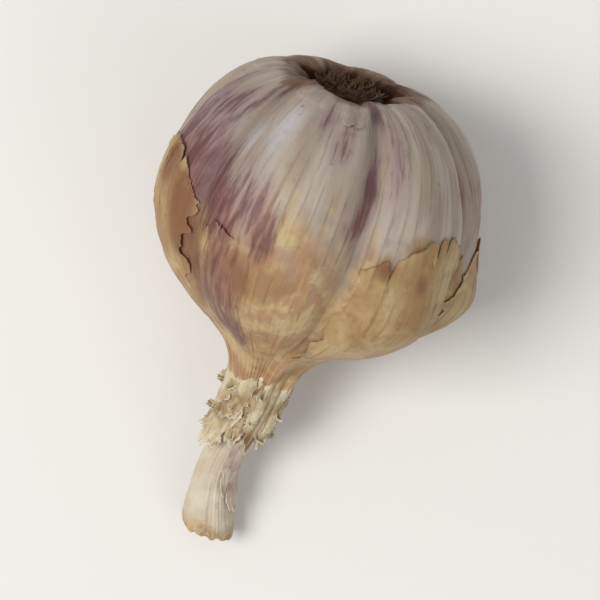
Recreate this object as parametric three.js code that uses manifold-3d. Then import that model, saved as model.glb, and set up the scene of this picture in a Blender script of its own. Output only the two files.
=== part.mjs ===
// A garlic bulb, cut from its plant and dried, lying on its side. Millimetres, +Z up.
//
// Seven cloves stand in a ring inside one paper skin. The skin dips into a furrow between each two of them,
// closes round a sunken root plate at one end and gathers into a neck at the other. The neck's outer leaves are
// torn to strips, and a cut stub of the hard flower stalk stands out of it. Three remnants of an older skin cling
// outside.
//
// Every shape is first made upright in the bulb's own frame, with the bulb's axis along Y, the roots at the
// bottom and Z as the side that ends on top. It is then laid down: it rests on two neighbouring cloves and on the
// stalk's end, so the root plate looks a little upwards. The neck points along -Y.
import * as THREE from "three";
import { mergeVertices } from "three/addons/utils/BufferGeometryUtils.js";
import Module from "manifold-3d";

const wasm = await Module();
wasm.setup();

const { smoothstep, degToRad, radToDeg } = THREE.MathUtils;

// ---- Driving dimensions: heights run along the bulb's axis, from its widest place, roots negative ----
const WIDEST_RADIUS = 29.5;
const PIT_FLOOR = -18.6; // where the root plate sits
const ROOT_RIM = -22.9;
const SHOULDER = 26.6; // where the cloves end and the neck begins
const NECK_RADIUS = 5.8;
const NECK_END = 47;
const SOCKET_FLOOR = 43.5; // bottom of the hollow in the neck that the stalk stands in
const STALK_END = 71;
const GAP = 0.35; // between pieces that touch
const SKIN_THICKNESS = 0.5;

// How it lies
const TILT = 20; // degrees between the bulb's axis and the surface
const PRESS = 0.45; // how far the cloves' crests are flattened where they rest
const NECK_SAG = 0.9; // how far the stalk's end hangs below the straight axis
const SAG_START = 22; // height from which it hangs
const NECK_SWAY = [ // [height, sideways offset] of the neck's centre line
  [20, 0],
  [32, 0.5],
  [43, 1.5],
  [50, 3.0],
  [57, 4.3],
  [64, 3.8],
  [STALK_END, 2.3],
];

// Cloves: each furrow's angle in degrees round the axis, 0 on top as the bulb lies and positive towards +X,
// then how much further out the clove after it stands, and how much fuller it is at its shoulder
const CLOVES = [
  { furrow: 20, bulge: 0.025, shoulder: 0.16 },
  { furrow: 78, bulge: 0.06, shoulder: 0.2 },
  { furrow: 135, bulge: 0.0, shoulder: -0.01 },
  { furrow: 184, bulge: 0.006, shoulder: 0.0 },
  { furrow: 235, bulge: -0.02, shoulder: 0.03 },
  { furrow: 275, bulge: 0.02, shoulder: -0.01 },
  { furrow: 318, bulge: 0.0, shoulder: 0.02 },
];
const FURROW_SHARPNESS = 2.6; // power of the dip across a clove
const FURROW_DEPTH = 0.095; // share of the radius, at the widest place
const ROOT_FURROW_EXTRA = 0.1; // furrows are deeper towards the roots
const FURROW_LEAN = -0.2; // degrees of turn per millimetre along the axis
const NECK_PLEATS = 9;
const NECK_PLEAT_DEPTH = 0.06;

const ROUND_SEGMENTS = 84;
const BODY_ROWS = 36;

// Outside profile from the middle of the root pit to the neck's end, as [radius, height]
const PROFILE = [
  [0, PIT_FLOOR],
  [5.5, PIT_FLOOR - 0.2],
  [8.2, -20.2],
  [9.7, -22.0],
  [12.4, ROOT_RIM],
  [16.8, -21.8],
  [22.0, -18.2],
  [26.6, -11.6],
  [29.2, -3.6],
  [WIDEST_RADIUS, 3.2],
  [28.2, 10.2],
  [24.9, 16.8],
  [19.6, 22.4],
  [14.0, SHOULDER],
  [9.8, 30.4],
  [7.3, 34.8],
  [6.3, 40],
  [NECK_RADIUS, 45.2],
  [NECK_RADIUS - 0.3, NECK_END],
];
const SOCKET_RADIUS = 4.5;

// ---- Shape of the skin ----
const outline = new THREE.SplineCurve(PROFILE.map(([r, h]) => new THREE.Vector2(r, h)));
const outlinePoints = outline.getSpacedPoints(BODY_ROWS);

// Radius of the plain outline at a height outside the root pit.
function outlineRadius(height) {
  const rim = outlinePoints.findIndex((p) => p.y <= ROOT_RIM + 0.3);
  for (let i = rim; i < outlinePoints.length - 1; i++) {
    const a = outlinePoints[i];
    const b = outlinePoints[i + 1];
    if (height >= a.y && height <= b.y) return a.x + ((b.x - a.x) * (height - a.y)) / (b.y - a.y);
  }
  return outlinePoints[outlinePoints.length - 1].x;
}

// Which clove lies at an angle, and how far across it: -1 and 1 in its two furrows, 0 on its crest.
function acrossClove(angle, height) {
  const turned = angle - FURROW_LEAN * height;
  for (let i = 0; i < CLOVES.length; i++) {
    const start = CLOVES[i].furrow;
    const end = i + 1 < CLOVES.length ? CLOVES[i + 1].furrow : CLOVES[0].furrow + 360;
    const along = THREE.MathUtils.euclideanModulo(turned - start, 360);
    if (along < end - start) return { clove: CLOVES[i], across: (2 * along) / (end - start) - 1 };
  }
  return { clove: CLOVES[0], across: -1 };
}

// How much the skin stands out of the plain outline, as a share of its radius.
function skinFactor(angle, height) {
  const { clove, across } = acrossClove(angle, height);
  const crest = 1 - across * across;
  const fold = Math.abs(across) ** FURROW_SHARPNESS;
  const rootShare = smoothstep(-height, 4, 22);
  const neckShare = smoothstep(height, 12, 33);
  const depth = (FURROW_DEPTH + ROOT_FURROW_EXTRA * rootShare) * (1 - neckShare);
  const shoulderShare = smoothstep(height, 1, 15) * (1 - smoothstep(height, 20, 31));
  const pleat = NECK_PLEAT_DEPTH * neckShare * (0.5 + 0.5 * Math.cos(NECK_PLEATS * degToRad(angle)));
  return 1 - depth * fold + crest * (clove.bulge * (1 - neckShare) + clove.shoulder * shoulderShare) - pleat;
}

const swayLine = new THREE.SplineCurve(NECK_SWAY.map(([h, offset]) => new THREE.Vector2(h, offset)));
const swayPoints = swayLine.getPoints(60);

// Sideways offset of the neck's centre line at a height.
function neckSway(height) {
  if (height <= swayPoints[0].x) return 0;
  for (let i = 0; i < swayPoints.length - 1; i++) {
    const a = swayPoints[i];
    const b = swayPoints[i + 1];
    if (height <= b.x) return a.y + ((b.y - a.y) * (height - a.x)) / (b.x - a.x);
  }
  return swayPoints[swayPoints.length - 1].y;
}

// A point of the bulb's own frame: angle in degrees, radius and height, on the neck's bent centre line.
function place(angle, radius, height) {
  const turn = degToRad(angle);
  const sag = NECK_SAG * (Math.max(0, height - SAG_START) / (STALK_END - SAG_START)) ** 2;
  return new THREE.Vector3(
    -radius * Math.sin(turn) + neckSway(height),
    height,
    radius * Math.cos(turn) - sag,
  );
}

// Moves each vertex of a lathe to where factor(angle, height) times its radius puts it.
function reshapeLathe(geometry, factor) {
  const position = geometry.getAttribute("position");
  for (let i = 0; i < position.count; i++) {
    const x = position.getX(i);
    const height = position.getY(i);
    const z = position.getZ(i);
    const angle = radToDeg(Math.atan2(-x, z));
    const p = place(angle, Math.hypot(x, z) * factor(angle, height), height);
    position.setXYZ(i, p.x, p.y, p.z);
  }
  return geometry;
}

// ---- Laying it down ----
const tilt = degToRad(TILT);
const layDown = new THREE.Matrix4().makeBasis(
  new THREE.Vector3(-1, 0, 0),
  new THREE.Vector3(0, -Math.cos(tilt), -Math.sin(tilt)),
  new THREE.Vector3(0, -Math.sin(tilt), Math.cos(tilt)),
);
let restHeight = 0; // set from the bulb, used by every other piece

function lay(geometry) {
  geometry.applyMatrix4(layDown);
  geometry.translate(0, 0, restHeight);
  return geometry;
}

// Flattens what would reach below the surface.
function pressFlat(geometry) {
  const position = geometry.getAttribute("position");
  for (let i = 0; i < position.count; i++) position.setZ(i, Math.max(0, position.getZ(i)));
  return geometry;
}

// ---- Solids for joining pieces ----
function toSolid(geometry) {
  const bare = geometry.clone();
  bare.deleteAttribute("normal");
  bare.deleteAttribute("uv");
  const merged = mergeVertices(bare, 1e-4);
  const mesh = new wasm.Mesh({
    numProp: 3,
    vertProperties: new Float32Array(merged.getAttribute("position").array),
    triVerts: new Uint32Array(merged.index.array),
  });
  return new wasm.Manifold(mesh);
}

function toGeometry(solid) {
  const mesh = solid.getMesh();
  const geometry = new THREE.BufferGeometry();
  geometry.setAttribute("position", new THREE.BufferAttribute(mesh.vertProperties, 3));
  geometry.setIndex(new THREE.BufferAttribute(mesh.triVerts, 1));
  return geometry;
}

// ---- Bulb: the cloves in their skin, with the neck ----
function makeBulb() {
  const socket = [
    new THREE.Vector2(SOCKET_RADIUS + 0.2, NECK_END - 0.4),
    new THREE.Vector2(SOCKET_RADIUS, SOCKET_FLOOR + 0.3),
    new THREE.Vector2(0, SOCKET_FLOOR),
  ];
  const geometry = reshapeLathe(
    new THREE.LatheGeometry([...outlinePoints, ...socket], ROUND_SEGMENTS),
    skinFactor,
  );
  lay(geometry);
  const laid = new THREE.Box3().setFromBufferAttribute(geometry.getAttribute("position"));
  restHeight = -laid.min.z - PRESS;
  geometry.translate(0, 0, restHeight);
  return pressFlat(geometry);
}

// ---- Stalk: the cut stub of the flower stalk, oval and a little flared at its end ----
function makeStalk() {
  const points = [
    [0, SOCKET_FLOOR + GAP],
    [3.9, SOCKET_FLOOR + GAP + 0.1],
    [3.8, 47],
    [3.4, 52],
    [3.5, 57],
    [4.0, 62],
    [4.6, 66.5],
    [4.85, 69.2],
    [4.5, 70.6],
    [3.4, STALK_END],
    [0, STALK_END - 0.5],
  ].map(([r, h]) => new THREE.Vector2(r, h));
  const oval = (angle) => 1 + 0.07 * Math.cos(2 * degToRad(angle - 90));
  return pressFlat(lay(reshapeLathe(new THREE.LatheGeometry(points, 28), oval)));
}

// ---- Root plate: the disc at the foot of the bulb, with the cut roots ----
const PLATE_RADIUS = 6.5;
const ROOTS = 24;
const ROOT_RADIUS = 0.6;
const ROOT_LENGTH = 3.4;

function makeRootPlate() {
  const bottom = PIT_FLOOR - 3.0;
  const disc = [
    [0, bottom],
    [3.4, bottom - 0.1],
    [PLATE_RADIUS - 0.5, bottom + 0.5],
    [PLATE_RADIUS, bottom + 1.2],
    [5.1, PIT_FLOOR - 0.7],
    [0, PIT_FLOOR - GAP],
  ].map(([r, h]) => new THREE.Vector2(r, h));
  let plate = toSolid(new THREE.LatheGeometry(disc, 36));
  const goldenAngle = Math.PI * (3 - Math.sqrt(5));
  for (let i = 0; i < ROOTS; i++) {
    const spread = Math.sqrt((i + 0.5) / ROOTS);
    const turn = i * goldenAngle;
    const root = new THREE.CylinderGeometry(ROOT_RADIUS, ROOT_RADIUS * 0.7, ROOT_LENGTH, 7);
    root.translate(0, -ROOT_LENGTH / 2, 0);
    root.rotateX(-0.5 * spread * Math.cos(turn) - 0.12 * Math.sin(5 * i));
    root.rotateZ(0.5 * spread * Math.sin(turn) + 0.12 * Math.cos(7 * i));
    const out = (PLATE_RADIUS - 1.4) * spread;
    root.translate(out * Math.sin(turn), bottom + 1.1, out * Math.cos(turn));
    plate = plate.add(toSolid(root));
  }
  return lay(toGeometry(plate));
}

// ---- Loose sheets: parts of an older skin, and torn leaves at the neck ----
// A closed sheet over the skin between two angles, which lean as the furrows do, from start(u) to end(u) in
// height, where u runs from 0 to 1 across it and v along it. It narrows by the share taper towards v = 1, and
// stands lift(u, v) off the skin.
function makeSheet({ from, to, start, end, lift, taper, columns, rows }) {
  const positions = [];
  const index = [];
  const layerSize = (columns + 1) * (rows + 1);
  for (const layer of [0, 1]) {
    for (let j = 0; j <= rows; j++) {
      for (let i = 0; i <= columns; i++) {
        const u = i / columns;
        const v = j / rows;
        const height = start(u) + (end(u) - start(u)) * v;
        const angle = (from + to) / 2 + (to - from) * (u - 0.5) * (1 - taper * v) + FURROW_LEAN * height;
        const radius = outlineRadius(height) * skinFactor(angle, height);
        const p = place(angle, radius + lift(u, v) + layer * SKIN_THICKNESS, height);
        positions.push(p.x, p.y, p.z);
      }
    }
  }
  const at = (layer, i, j) => layer * layerSize + j * (columns + 1) + i;
  const quad = (a, b, c, d) => index.push(a, b, c, a, c, d);
  for (let j = 0; j < rows; j++) {
    for (let i = 0; i < columns; i++) {
      quad(at(1, i, j), at(1, i, j + 1), at(1, i + 1, j + 1), at(1, i + 1, j));
      quad(at(0, i, j), at(0, i + 1, j), at(0, i + 1, j + 1), at(0, i, j + 1));
    }
    quad(at(0, 0, j), at(0, 0, j + 1), at(1, 0, j + 1), at(1, 0, j));
    quad(at(0, columns, j), at(1, columns, j), at(1, columns, j + 1), at(0, columns, j + 1));
  }
  for (let i = 0; i < columns; i++) {
    quad(at(0, i, 0), at(1, i, 0), at(1, i + 1, 0), at(0, i + 1, 0));
    quad(at(0, i, rows), at(0, i + 1, rows), at(1, i + 1, rows), at(1, i, rows));
  }
  const geometry = new THREE.BufferGeometry();
  geometry.setAttribute("position", new THREE.Float32BufferAttribute(positions, 3));
  geometry.setIndex(index);
  return lay(geometry);
}

// Old skin that stayed near the neck: its torn edge is an arch across the clove's crest.
const OLD_SKINS = [
  { name: "old_skin_right", from: 25, to: 76, torn: -4, arch: 5, bottom: 31, curl: 0.8 },
  { name: "old_skin_left", from: 279, to: 313, torn: -9, arch: 4, bottom: 15, curl: 0.7 },
  { name: "old_skin_under", from: 84, to: 128, torn: 2, arch: 4, bottom: 30, curl: 0.6 },
];

function makeOldSkin({ from, to, torn, arch, bottom, curl }) {
  return makeSheet({
    from,
    to,
    start: (u) => torn + arch * (2 * u - 1) ** 2,
    end: () => bottom,
    lift: (u, v) => GAP + curl * (1 - v) ** 6,
    taper: 0,
    columns: 11,
    rows: 11,
  });
}

// Torn leaf strips round the neck's end, which lean outwards.
const STRIP_START = 37;
const NECK_STRIPS = [
  { from: 13, to: 75, end: 50.5, lean: 0.9 },
  { from: 87, to: 141, end: 49, lean: 1.5 },
  { from: 153, to: 217, end: 51, lean: 0.6 },
  { from: 229, to: 281, end: 49.5, lean: 1.3 },
  { from: 293, to: 361, end: 51.5, lean: 1.0 },
];

function makeNeckStrip({ from, to, end, lean }) {
  return makeSheet({
    from,
    to,
    start: (u) => STRIP_START + 1.2 * Math.sin(3 * u),
    end: (u) => end - 1.6 * (2 * u - 1) ** 2,
    lift: (u, v) => GAP + lean * v ** 2,
    taper: 0.35,
    columns: 7,
    rows: 7,
  });
}

// ---- The object ----
const colours = {
  skin: { color: 0xcdbfae, roughness: 0.55 },
  root: { color: 0x2e1c12, roughness: 0.95 },
  stalk: { color: 0xd8c8a0, roughness: 0.7 },
  oldSkin: { color: 0xa87f4e, roughness: 0.6 },
  leaf: { color: 0xc9b58c, roughness: 0.8 },
};

const garlic = new THREE.Group();

function addPiece(name, geometry, finish) {
  geometry.computeVertexNormals();
  const material = new THREE.MeshStandardMaterial({ ...finish, metalness: 0 });
  const mesh = new THREE.Mesh(geometry, material);
  mesh.name = name;
  garlic.add(mesh);
}

addPiece("bulb", makeBulb(), colours.skin);
addPiece("stalk", makeStalk(), colours.stalk);
addPiece("root_plate", makeRootPlate(), colours.root);
for (const skin of OLD_SKINS) addPiece(skin.name, makeOldSkin(skin), colours.oldSkin);
NECK_STRIPS.forEach((strip, i) => addPiece(`neck_leaf_${i + 1}`, makeNeckStrip(strip), colours.leaf));

// The origin is the middle of the footprint, on the surface that the bulb rests on.
const box = new THREE.Box3().setFromObject(garlic);
const middle = box.getCenter(new THREE.Vector3());
garlic.position.set(-middle.x, -middle.y, 0);

export default garlic;
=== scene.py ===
"""A dried garlic bulb lying on its side, seen from above.

The cloves bulge under one papery skin with maroon furrows and lilac streaks, which turns tan towards the
neck. Torn remnants of an older skin cling to it. The neck is frayed and holds the cut stub of the stalk.
A tuft of dried roots sits in the hollow at the foot.

Every piece is first made upright in millimetres of the bulb's own frame: Z runs along its axis, with the
roots at the bottom, and Y is the side that ends on top. It is then laid down where the CAD bulb lies.
"""
import math

import bpy
import numpy as np
from mathutils import Matrix, Vector


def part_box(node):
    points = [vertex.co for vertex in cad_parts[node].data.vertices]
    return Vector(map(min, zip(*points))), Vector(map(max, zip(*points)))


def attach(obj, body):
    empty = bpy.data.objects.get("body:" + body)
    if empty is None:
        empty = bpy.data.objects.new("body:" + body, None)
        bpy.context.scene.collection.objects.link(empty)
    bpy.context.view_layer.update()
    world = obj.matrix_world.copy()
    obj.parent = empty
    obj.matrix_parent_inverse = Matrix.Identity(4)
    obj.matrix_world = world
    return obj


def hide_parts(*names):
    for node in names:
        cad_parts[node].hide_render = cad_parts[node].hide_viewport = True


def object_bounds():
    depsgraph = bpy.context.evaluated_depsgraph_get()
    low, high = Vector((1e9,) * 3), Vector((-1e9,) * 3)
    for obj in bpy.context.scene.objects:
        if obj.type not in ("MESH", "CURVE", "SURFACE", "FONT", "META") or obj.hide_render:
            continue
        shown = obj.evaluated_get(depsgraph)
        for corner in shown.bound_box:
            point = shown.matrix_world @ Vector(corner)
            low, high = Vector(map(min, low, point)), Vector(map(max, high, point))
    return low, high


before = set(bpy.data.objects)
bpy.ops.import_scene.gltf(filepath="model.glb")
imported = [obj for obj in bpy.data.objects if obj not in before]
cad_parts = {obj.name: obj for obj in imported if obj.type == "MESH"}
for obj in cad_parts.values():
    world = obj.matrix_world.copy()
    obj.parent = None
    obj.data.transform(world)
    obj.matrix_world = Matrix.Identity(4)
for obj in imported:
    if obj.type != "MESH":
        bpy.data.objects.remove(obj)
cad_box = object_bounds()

MM = 0.001
GOLDEN_ANGLE = 137.5  # degrees from one thing to the next, which spreads them evenly

# ---- Driving dimensions, as in the part's source: degrees round the axis, and millimetres ----
TILT = 20  # between the bulb's axis and the surface
# Where the cloves meet: 0 is on top as the bulb lies, and the last is the first once more
FURROWS = np.array([20.0, 78, 135, 184, 235, 275, 318, 380])
# How much fuller each clove's crest is, on the whole and at its shoulder, as a share of the radius
BULGE = np.array([0.025, 0.06, 0.0, 0.006, -0.02, 0.02, 0.0])
FULL_SHOULDER = np.array([0.16, 0.2, -0.01, 0.0, 0.03, -0.01, 0.02])
CLOVES = len(BULGE)
FURROW_SHARPNESS = 2.6  # power of the dip across a clove
FURROW_DEPTH = 0.095  # share of the radius
ROOT_FURROW_EXTRA = 0.1  # added to that towards the roots
FURROW_LEAN = -0.2  # degrees of turn per millimetre along the axis
FURROW_ROUNDING = 0.1  # share of half a clove's width
NECK_PLEATS = 9
NECK_PLEAT_DEPTH = 0.06  # share of the radius
ROOT_RIM = -22.9
SHOULDER = 26.6  # where the cloves end and the neck begins
NECK_END = 47
STALK_END = 71
SAG_START = 22  # height from which the neck hangs
NECK_SAG = 0.9  # how far it hangs at the stalk's end
PRESS = 0.45  # how far the cloves' crests are flattened where they rest
SWAY_HEIGHTS = [20, 32, 43, 50, 57, 64, STALK_END]
SWAY = [0, 0.5, 1.5, 3.0, 4.3, 3.8, 2.3]  # how far the neck's centre line stands aside at those heights
PROFILE = [
    # radius and height, from the middle of the root pit over the rim and the bulge to the neck's end
    (0, -18.6), (5.5, -18.8), (8.2, -20.2), (9.7, -22.0), (12.4, ROOT_RIM), (16.8, -21.8), (22.0, -18.2),
    (26.6, -11.6), (29.2, -3.6), (29.5, 3.2), (28.2, 10.2), (24.9, 16.8), (19.6, 22.4), (14.0, SHOULDER),
    (9.8, 30.4), (7.3, 34.8), (6.3, 40), (5.8, 45.2), (5.5, NECK_END),
]


# ---- Curves and noise on the skin ----
NOISE_ROWS = 211  # along the bulb, after which it repeats
NOISE_START = 60  # the row at length 0


def smooth_curve(points, steps):
    """A Catmull-Rom curve through the points, with that many steps between each two."""
    points = np.array(points, float)
    padded = np.vstack([2 * points[0] - points[1], points, 2 * points[-1] - points[-2]])
    made = []
    for before, start, end, after in zip(padded, padded[1:], padded[2:], padded[3:]):
        for t in np.arange(steps) / steps:
            made.append(0.5 * (
                2 * start + (end - before) * t + (2 * before - 5 * start + 4 * end - after) * t ** 2
                + (3 * start - before - 3 * end + after) * t ** 3
            ))
    return np.array(made + [points[-1]])


def lengths_of(line):
    """The length along a line of points, up to each of them."""
    return np.append(0, np.cumsum(np.linalg.norm(np.diff(line, axis=0), axis=1)))


OUTLINE = smooth_curve(PROFILE, 24)
OUTLINE_LENGTH = lengths_of(OUTLINE)
SKIN_LENGTH = OUTLINE_LENGTH[-1]
SWAY_LINE = smooth_curve(list(zip(SWAY_HEIGHTS, SWAY)), 16)


def smoothstep(value, low, high):
    """0 below low, 1 above high and smooth in between."""
    t = np.clip((value - low) / (high - low), 0, 1)
    return t * t * (3 - 2 * t)


def aside_of(angle, middle):
    """Degrees from the middle to the angle, the short way round: from -180 to 180."""
    return (angle - middle + 180) % 360 - 180


def drift(angle, along, cells, length, seed):
    """Smooth noise from -1 to 1, with that many cells round the axis, and cells of that length along it."""
    table = np.random.default_rng(seed).uniform(-1, 1, (cells, NOISE_ROWS))
    a = angle / 360 % 1 * cells
    b = along / length + NOISE_START
    column, row = np.floor(a).astype(int), np.floor(b).astype(int)
    right, on = (t * t * t * (t * (6 * t - 15) + 10) for t in (a - column, b - row))

    def between_columns(row_from_here):
        here, there = (table[(column + step) % cells, (row + row_from_here) % NOISE_ROWS] for step in (0, 1))
        return here * (1 - right) + there * right

    return between_columns(0) * (1 - on) + between_columns(1) * on


def creases(angle, along, cells, length, seed, sharpness=4):
    """Narrow valleys, from 0 between them to -1 at the bottom, that wander where smooth noise passes zero."""
    return -(1 - np.abs(drift(angle, along, cells, length, seed))) ** sharpness


def outline_at(along):
    """Radius and height of the plain outline at a length along the skin from the middle of the root pit."""
    return np.interp(along, OUTLINE_LENGTH, OUTLINE[:, 0]), np.interp(along, OUTLINE_LENGTH, OUTLINE[:, 1])


def along_at(height):
    """Length along the skin, from the middle of the root pit, at a height outside the pit."""
    outside = OUTLINE[:, 1].argmin()
    return np.interp(height, OUTLINE[outside:, 1], OUTLINE_LENGTH[outside:])


# ---- The skin's shape ----
VEINS = 76  # round the bulb, in its shape and in its finish


def across_clove(turned):
    """For angles that the furrows' lean is taken from: the clove each is on, and -1 to 1 across it."""
    offset = (turned - FURROWS[0]) % 360
    clove = np.clip(np.searchsorted(FURROWS - FURROWS[0], offset, side="right") - 1, 0, CLOVES - 1)
    start, end = FURROWS[clove] - FURROWS[0], FURROWS[clove + 1] - FURROWS[0]
    return clove, 2 * (offset - start) / (end - start) - 1


def fold_of(across):
    """How deep a point lies in its furrow, from 0 on the crest to about 1, rounded at the bottom."""
    side = np.abs(across)
    into = np.clip(side - (1 - FURROW_ROUNDING), 0, None)
    return side ** FURROW_SHARPNESS - FURROW_SHARPNESS * into ** 2 / (2 * FURROW_ROUNDING)


def skin_relief(turned, along):
    """Millimetres that the skin stands off its plain form: unevenness, veins, and pleats towards both ends.

    Each term is a height times noise or creases, of so many cells round the bulb and so long along it.
    """
    body = smoothstep(along, 12, 24) * (1 - smoothstep(along, 84, 96))
    uneven = 0.32 * drift(turned, along, 11, 15, 1) + 0.16 * drift(turned, along, 26, 7, 2)
    wander = turned + 1.2 * drift(turned, along, 30, 18, 10)
    ribs = 0.035 * np.cos(VEINS * np.radians(wander)) * (0.5 + 0.5 * drift(turned, along, 16, 20, 11))
    veins = 0.045 * creases(turned, along, 88, 60, 3)
    to_neck = smoothstep(along, 52, 84)
    pleats = 0.45 * creases(turned, along, 22, 34, 5, 3) + 0.28 * creases(turned, along, 46, 22, 6, 3)
    to_root = smoothstep(-along, -27, -14) * smoothstep(along, 6, 12)
    gathers = 0.45 * creases(turned, along, 30, 12, 7, 3)
    crinkle = 0.1 * drift(turned, along, 60, 2.6, 8) * smoothstep(along, 45, 80)
    wrinkle = 0.14 * creases(turned + 0.9 * along, along, 14, 9, 12, 8) * smoothstep(along, 30, 42)
    in_pit = (1 - smoothstep(along, 8, 13)) * smoothstep(along, 2, 6)
    rough = 0.3 * drift(turned, along, 34, 1.6, 9) * in_pit
    return body * (uneven + ribs + veins + wrinkle) + to_neck * pleats + to_root * gathers + crinkle + rough


def lip(turned, along):
    """Millimetres that the pit's lip is worn away on its upper side."""
    worn = 1.3 * np.exp(-(aside_of(turned, 4) / 26) ** 2) * (1 + 0.4 * drift(turned, along, 30, 20, 13))
    return worn * np.exp(-((along - 14) / 4.5) ** 2)


def neck_offset(height):
    """How far the bent neck's centre line stands aside, and how far it hangs, at a height."""
    sway = np.interp(height, SWAY_LINE[:, 0], SWAY_LINE[:, 1])
    sag = NECK_SAG * (np.clip(height - SAG_START, 0, None) / (STALK_END - SAG_START)) ** 2
    return sway, sag


def upright(angle, radius, height):
    """Points of the upright frame from angle in degrees, radius and height."""
    sway, sag = neck_offset(height)
    turn = np.radians(angle)
    aside, up = radius * np.sin(turn) - sway, radius * np.cos(turn) - sag
    return np.stack([aside, up, height + 0 * radius], axis=-1)


def skin_point(turned, along, lift=0.0, relief=True):
    """A point of the skin, with lift in millimetres off it. turned is the angle less the furrows' lean."""
    radius, height = outline_at(along)
    clove, across = across_clove(turned)
    crest = 1 - across ** 2
    to_root = smoothstep(-height, 4, 22)
    to_neck = smoothstep(height, 12, 33)
    depth = (FURROW_DEPTH + ROOT_FURROW_EXTRA * to_root) * (1 - to_neck)
    shoulder = smoothstep(height, 1, 15) * (1 - smoothstep(height, 20, 31))
    angle = turned + FURROW_LEAN * height
    pleat = NECK_PLEAT_DEPTH * to_neck * (0.5 + 0.5 * np.cos(NECK_PLEATS * np.radians(angle)))
    fullness = BULGE[clove] * (1 - to_neck) + FULL_SHOULDER[clove] * shoulder
    share = 1 - depth * fold_of(across) + crest * fullness
    out = radius * (share - pleat)
    if relief:
        out = out + skin_relief(turned, along) * np.clip(radius / 5, 0, 1)
        height = height + lip(turned, along)
    return upright(angle, out + lift, height)


# ---- Laying down: the plain form's box is set on the CAD bulb's ----
def laying_matrix():
    """Tilts the upright frame over and moves it to where the CAD bulb lies, sunk by the press."""
    turn = Matrix.Rotation(math.radians(90 + TILT), 4, "X")
    turned, along = np.meshgrid(np.arange(0, 360, 1.0), np.linspace(0, SKIN_LENGTH, 300))
    plain = skin_point(turned.ravel(), along.ravel(), relief=False) @ np.array(turn.to_3x3()).T * MM
    low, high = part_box("bulb")
    middle = (np.array(low) + np.array(high)) / 2 - (plain.min(0) + plain.max(0)) / 2
    rise = -plain[:, 2].min() - PRESS * MM
    return Matrix.Translation((middle[0], middle[1], rise)) @ turn


LAY = laying_matrix()


# ---- Meshes ----
# Streaks are spots on a cylinder that is drawn out lengthwise: the wider the cylinder, the more of them
SKIN_STREAKS = 10
NECK_STREAKS = 3.5
SHORTENED = 0.06


def points_of(piece):
    """The places of the piece's vertices, in metres."""
    points = np.empty(len(piece.data.vertices) * 3)
    piece.data.vertices.foreach_get("co", points)
    return points.reshape(-1, 3)


def set_points(piece, laid):
    """Puts the piece's vertices at places in metres."""
    piece.data.vertices.foreach_set("co", laid.ravel())
    piece.data.update()


def lay(piece, points):
    """Puts the piece's vertices at points of the upright frame, laid down where the CAD bulb lies."""
    set_points(piece, points * MM @ np.array(LAY.to_3x3()).T + np.array(LAY.translation))


def press_flat(piece):
    """Flattens what would reach below the surface."""
    laid = points_of(piece)
    laid[:, 2] = np.maximum(laid[:, 2], 0)
    set_points(piece, laid)


def keep_above(piece, margin=0.15):
    """Squeezes what comes close to the surface, or below it, into that many millimetres above it."""
    laid = points_of(piece)
    height = laid[:, 2] / (margin * MM)
    laid[:, 2] = np.where(height < 1, np.exp(np.minimum(height, 1) - 1), height) * margin * MM
    set_points(piece, laid)


def store(piece, name, values):
    """Keeps one number or one vector for each vertex, for the materials to read."""
    kind, field = ("FLOAT", "value") if values.ndim == 1 else ("FLOAT_VECTOR", "vector")
    attribute = piece.data.attributes.new(name, kind, "POINT")
    attribute.data.foreach_set(field, values.astype(np.float32).ravel())


def lengthwise(radius, angle, along):
    """The place for streaks that run lengthwise: on a cylinder of that radius, and shortened along it."""
    turn = np.radians(angle)
    return np.stack([radius * np.cos(turn), radius * np.sin(turn), SHORTENED * along], axis=-1)


def unrolled(name, columns, rows):
    """A new flat grid of faces, with each vertex's place on it as two numbers from 0 to 1."""
    bpy.ops.object.select_all(action="DESELECT")
    bpy.ops.mesh.primitive_grid_add(x_subdivisions=columns, y_subdivisions=rows, size=1)
    piece = bpy.context.object
    piece.name = piece.data.name = name
    flat = points_of(piece)
    return piece, np.clip(flat[:, 0] + 0.5, 0, 1), np.clip(flat[:, 1] + 0.5, 0, 1)


def pick(piece):
    """Selects the piece and nothing else."""
    bpy.ops.object.select_all(action="DESELECT")
    piece.select_set(True)
    bpy.context.view_layer.objects.active = piece


def close_up(piece, merge=0.004):
    """Joins the seam and the poles of a rolled grid, and turns its faces outwards."""
    pick(piece)
    bpy.ops.object.mode_set(mode="EDIT")
    bpy.ops.mesh.select_all(action="SELECT")
    bpy.ops.mesh.remove_doubles(threshold=merge * MM)
    bpy.ops.mesh.normals_make_consistent(inside=False)
    bpy.ops.object.mode_set(mode="OBJECT")


def thicken(piece, thickness):
    """Gives a sheet its thickness, half to each side, and keeps it off the surface."""
    pick(piece)
    solid = piece.modifiers.new("thickness", "SOLIDIFY")
    solid.thickness = thickness * MM
    solid.offset = 0
    bpy.ops.object.modifier_apply(modifier=solid.name)
    keep_above(piece)


def smooth(piece, angle=60):
    """Shades the piece smoothly, apart from edges sharper than that many degrees."""
    pick(piece)
    bpy.ops.object.shade_smooth_by_angle(angle=math.radians(angle))


def belongs(piece, slot, material, *nodes):
    """Says what the piece is: the finish it has, and the CAD nodes that it stands for."""
    piece.data.materials.clear()
    piece.data.materials.append(material)
    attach(piece, "root")
    if nodes:
        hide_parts(*nodes)


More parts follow.
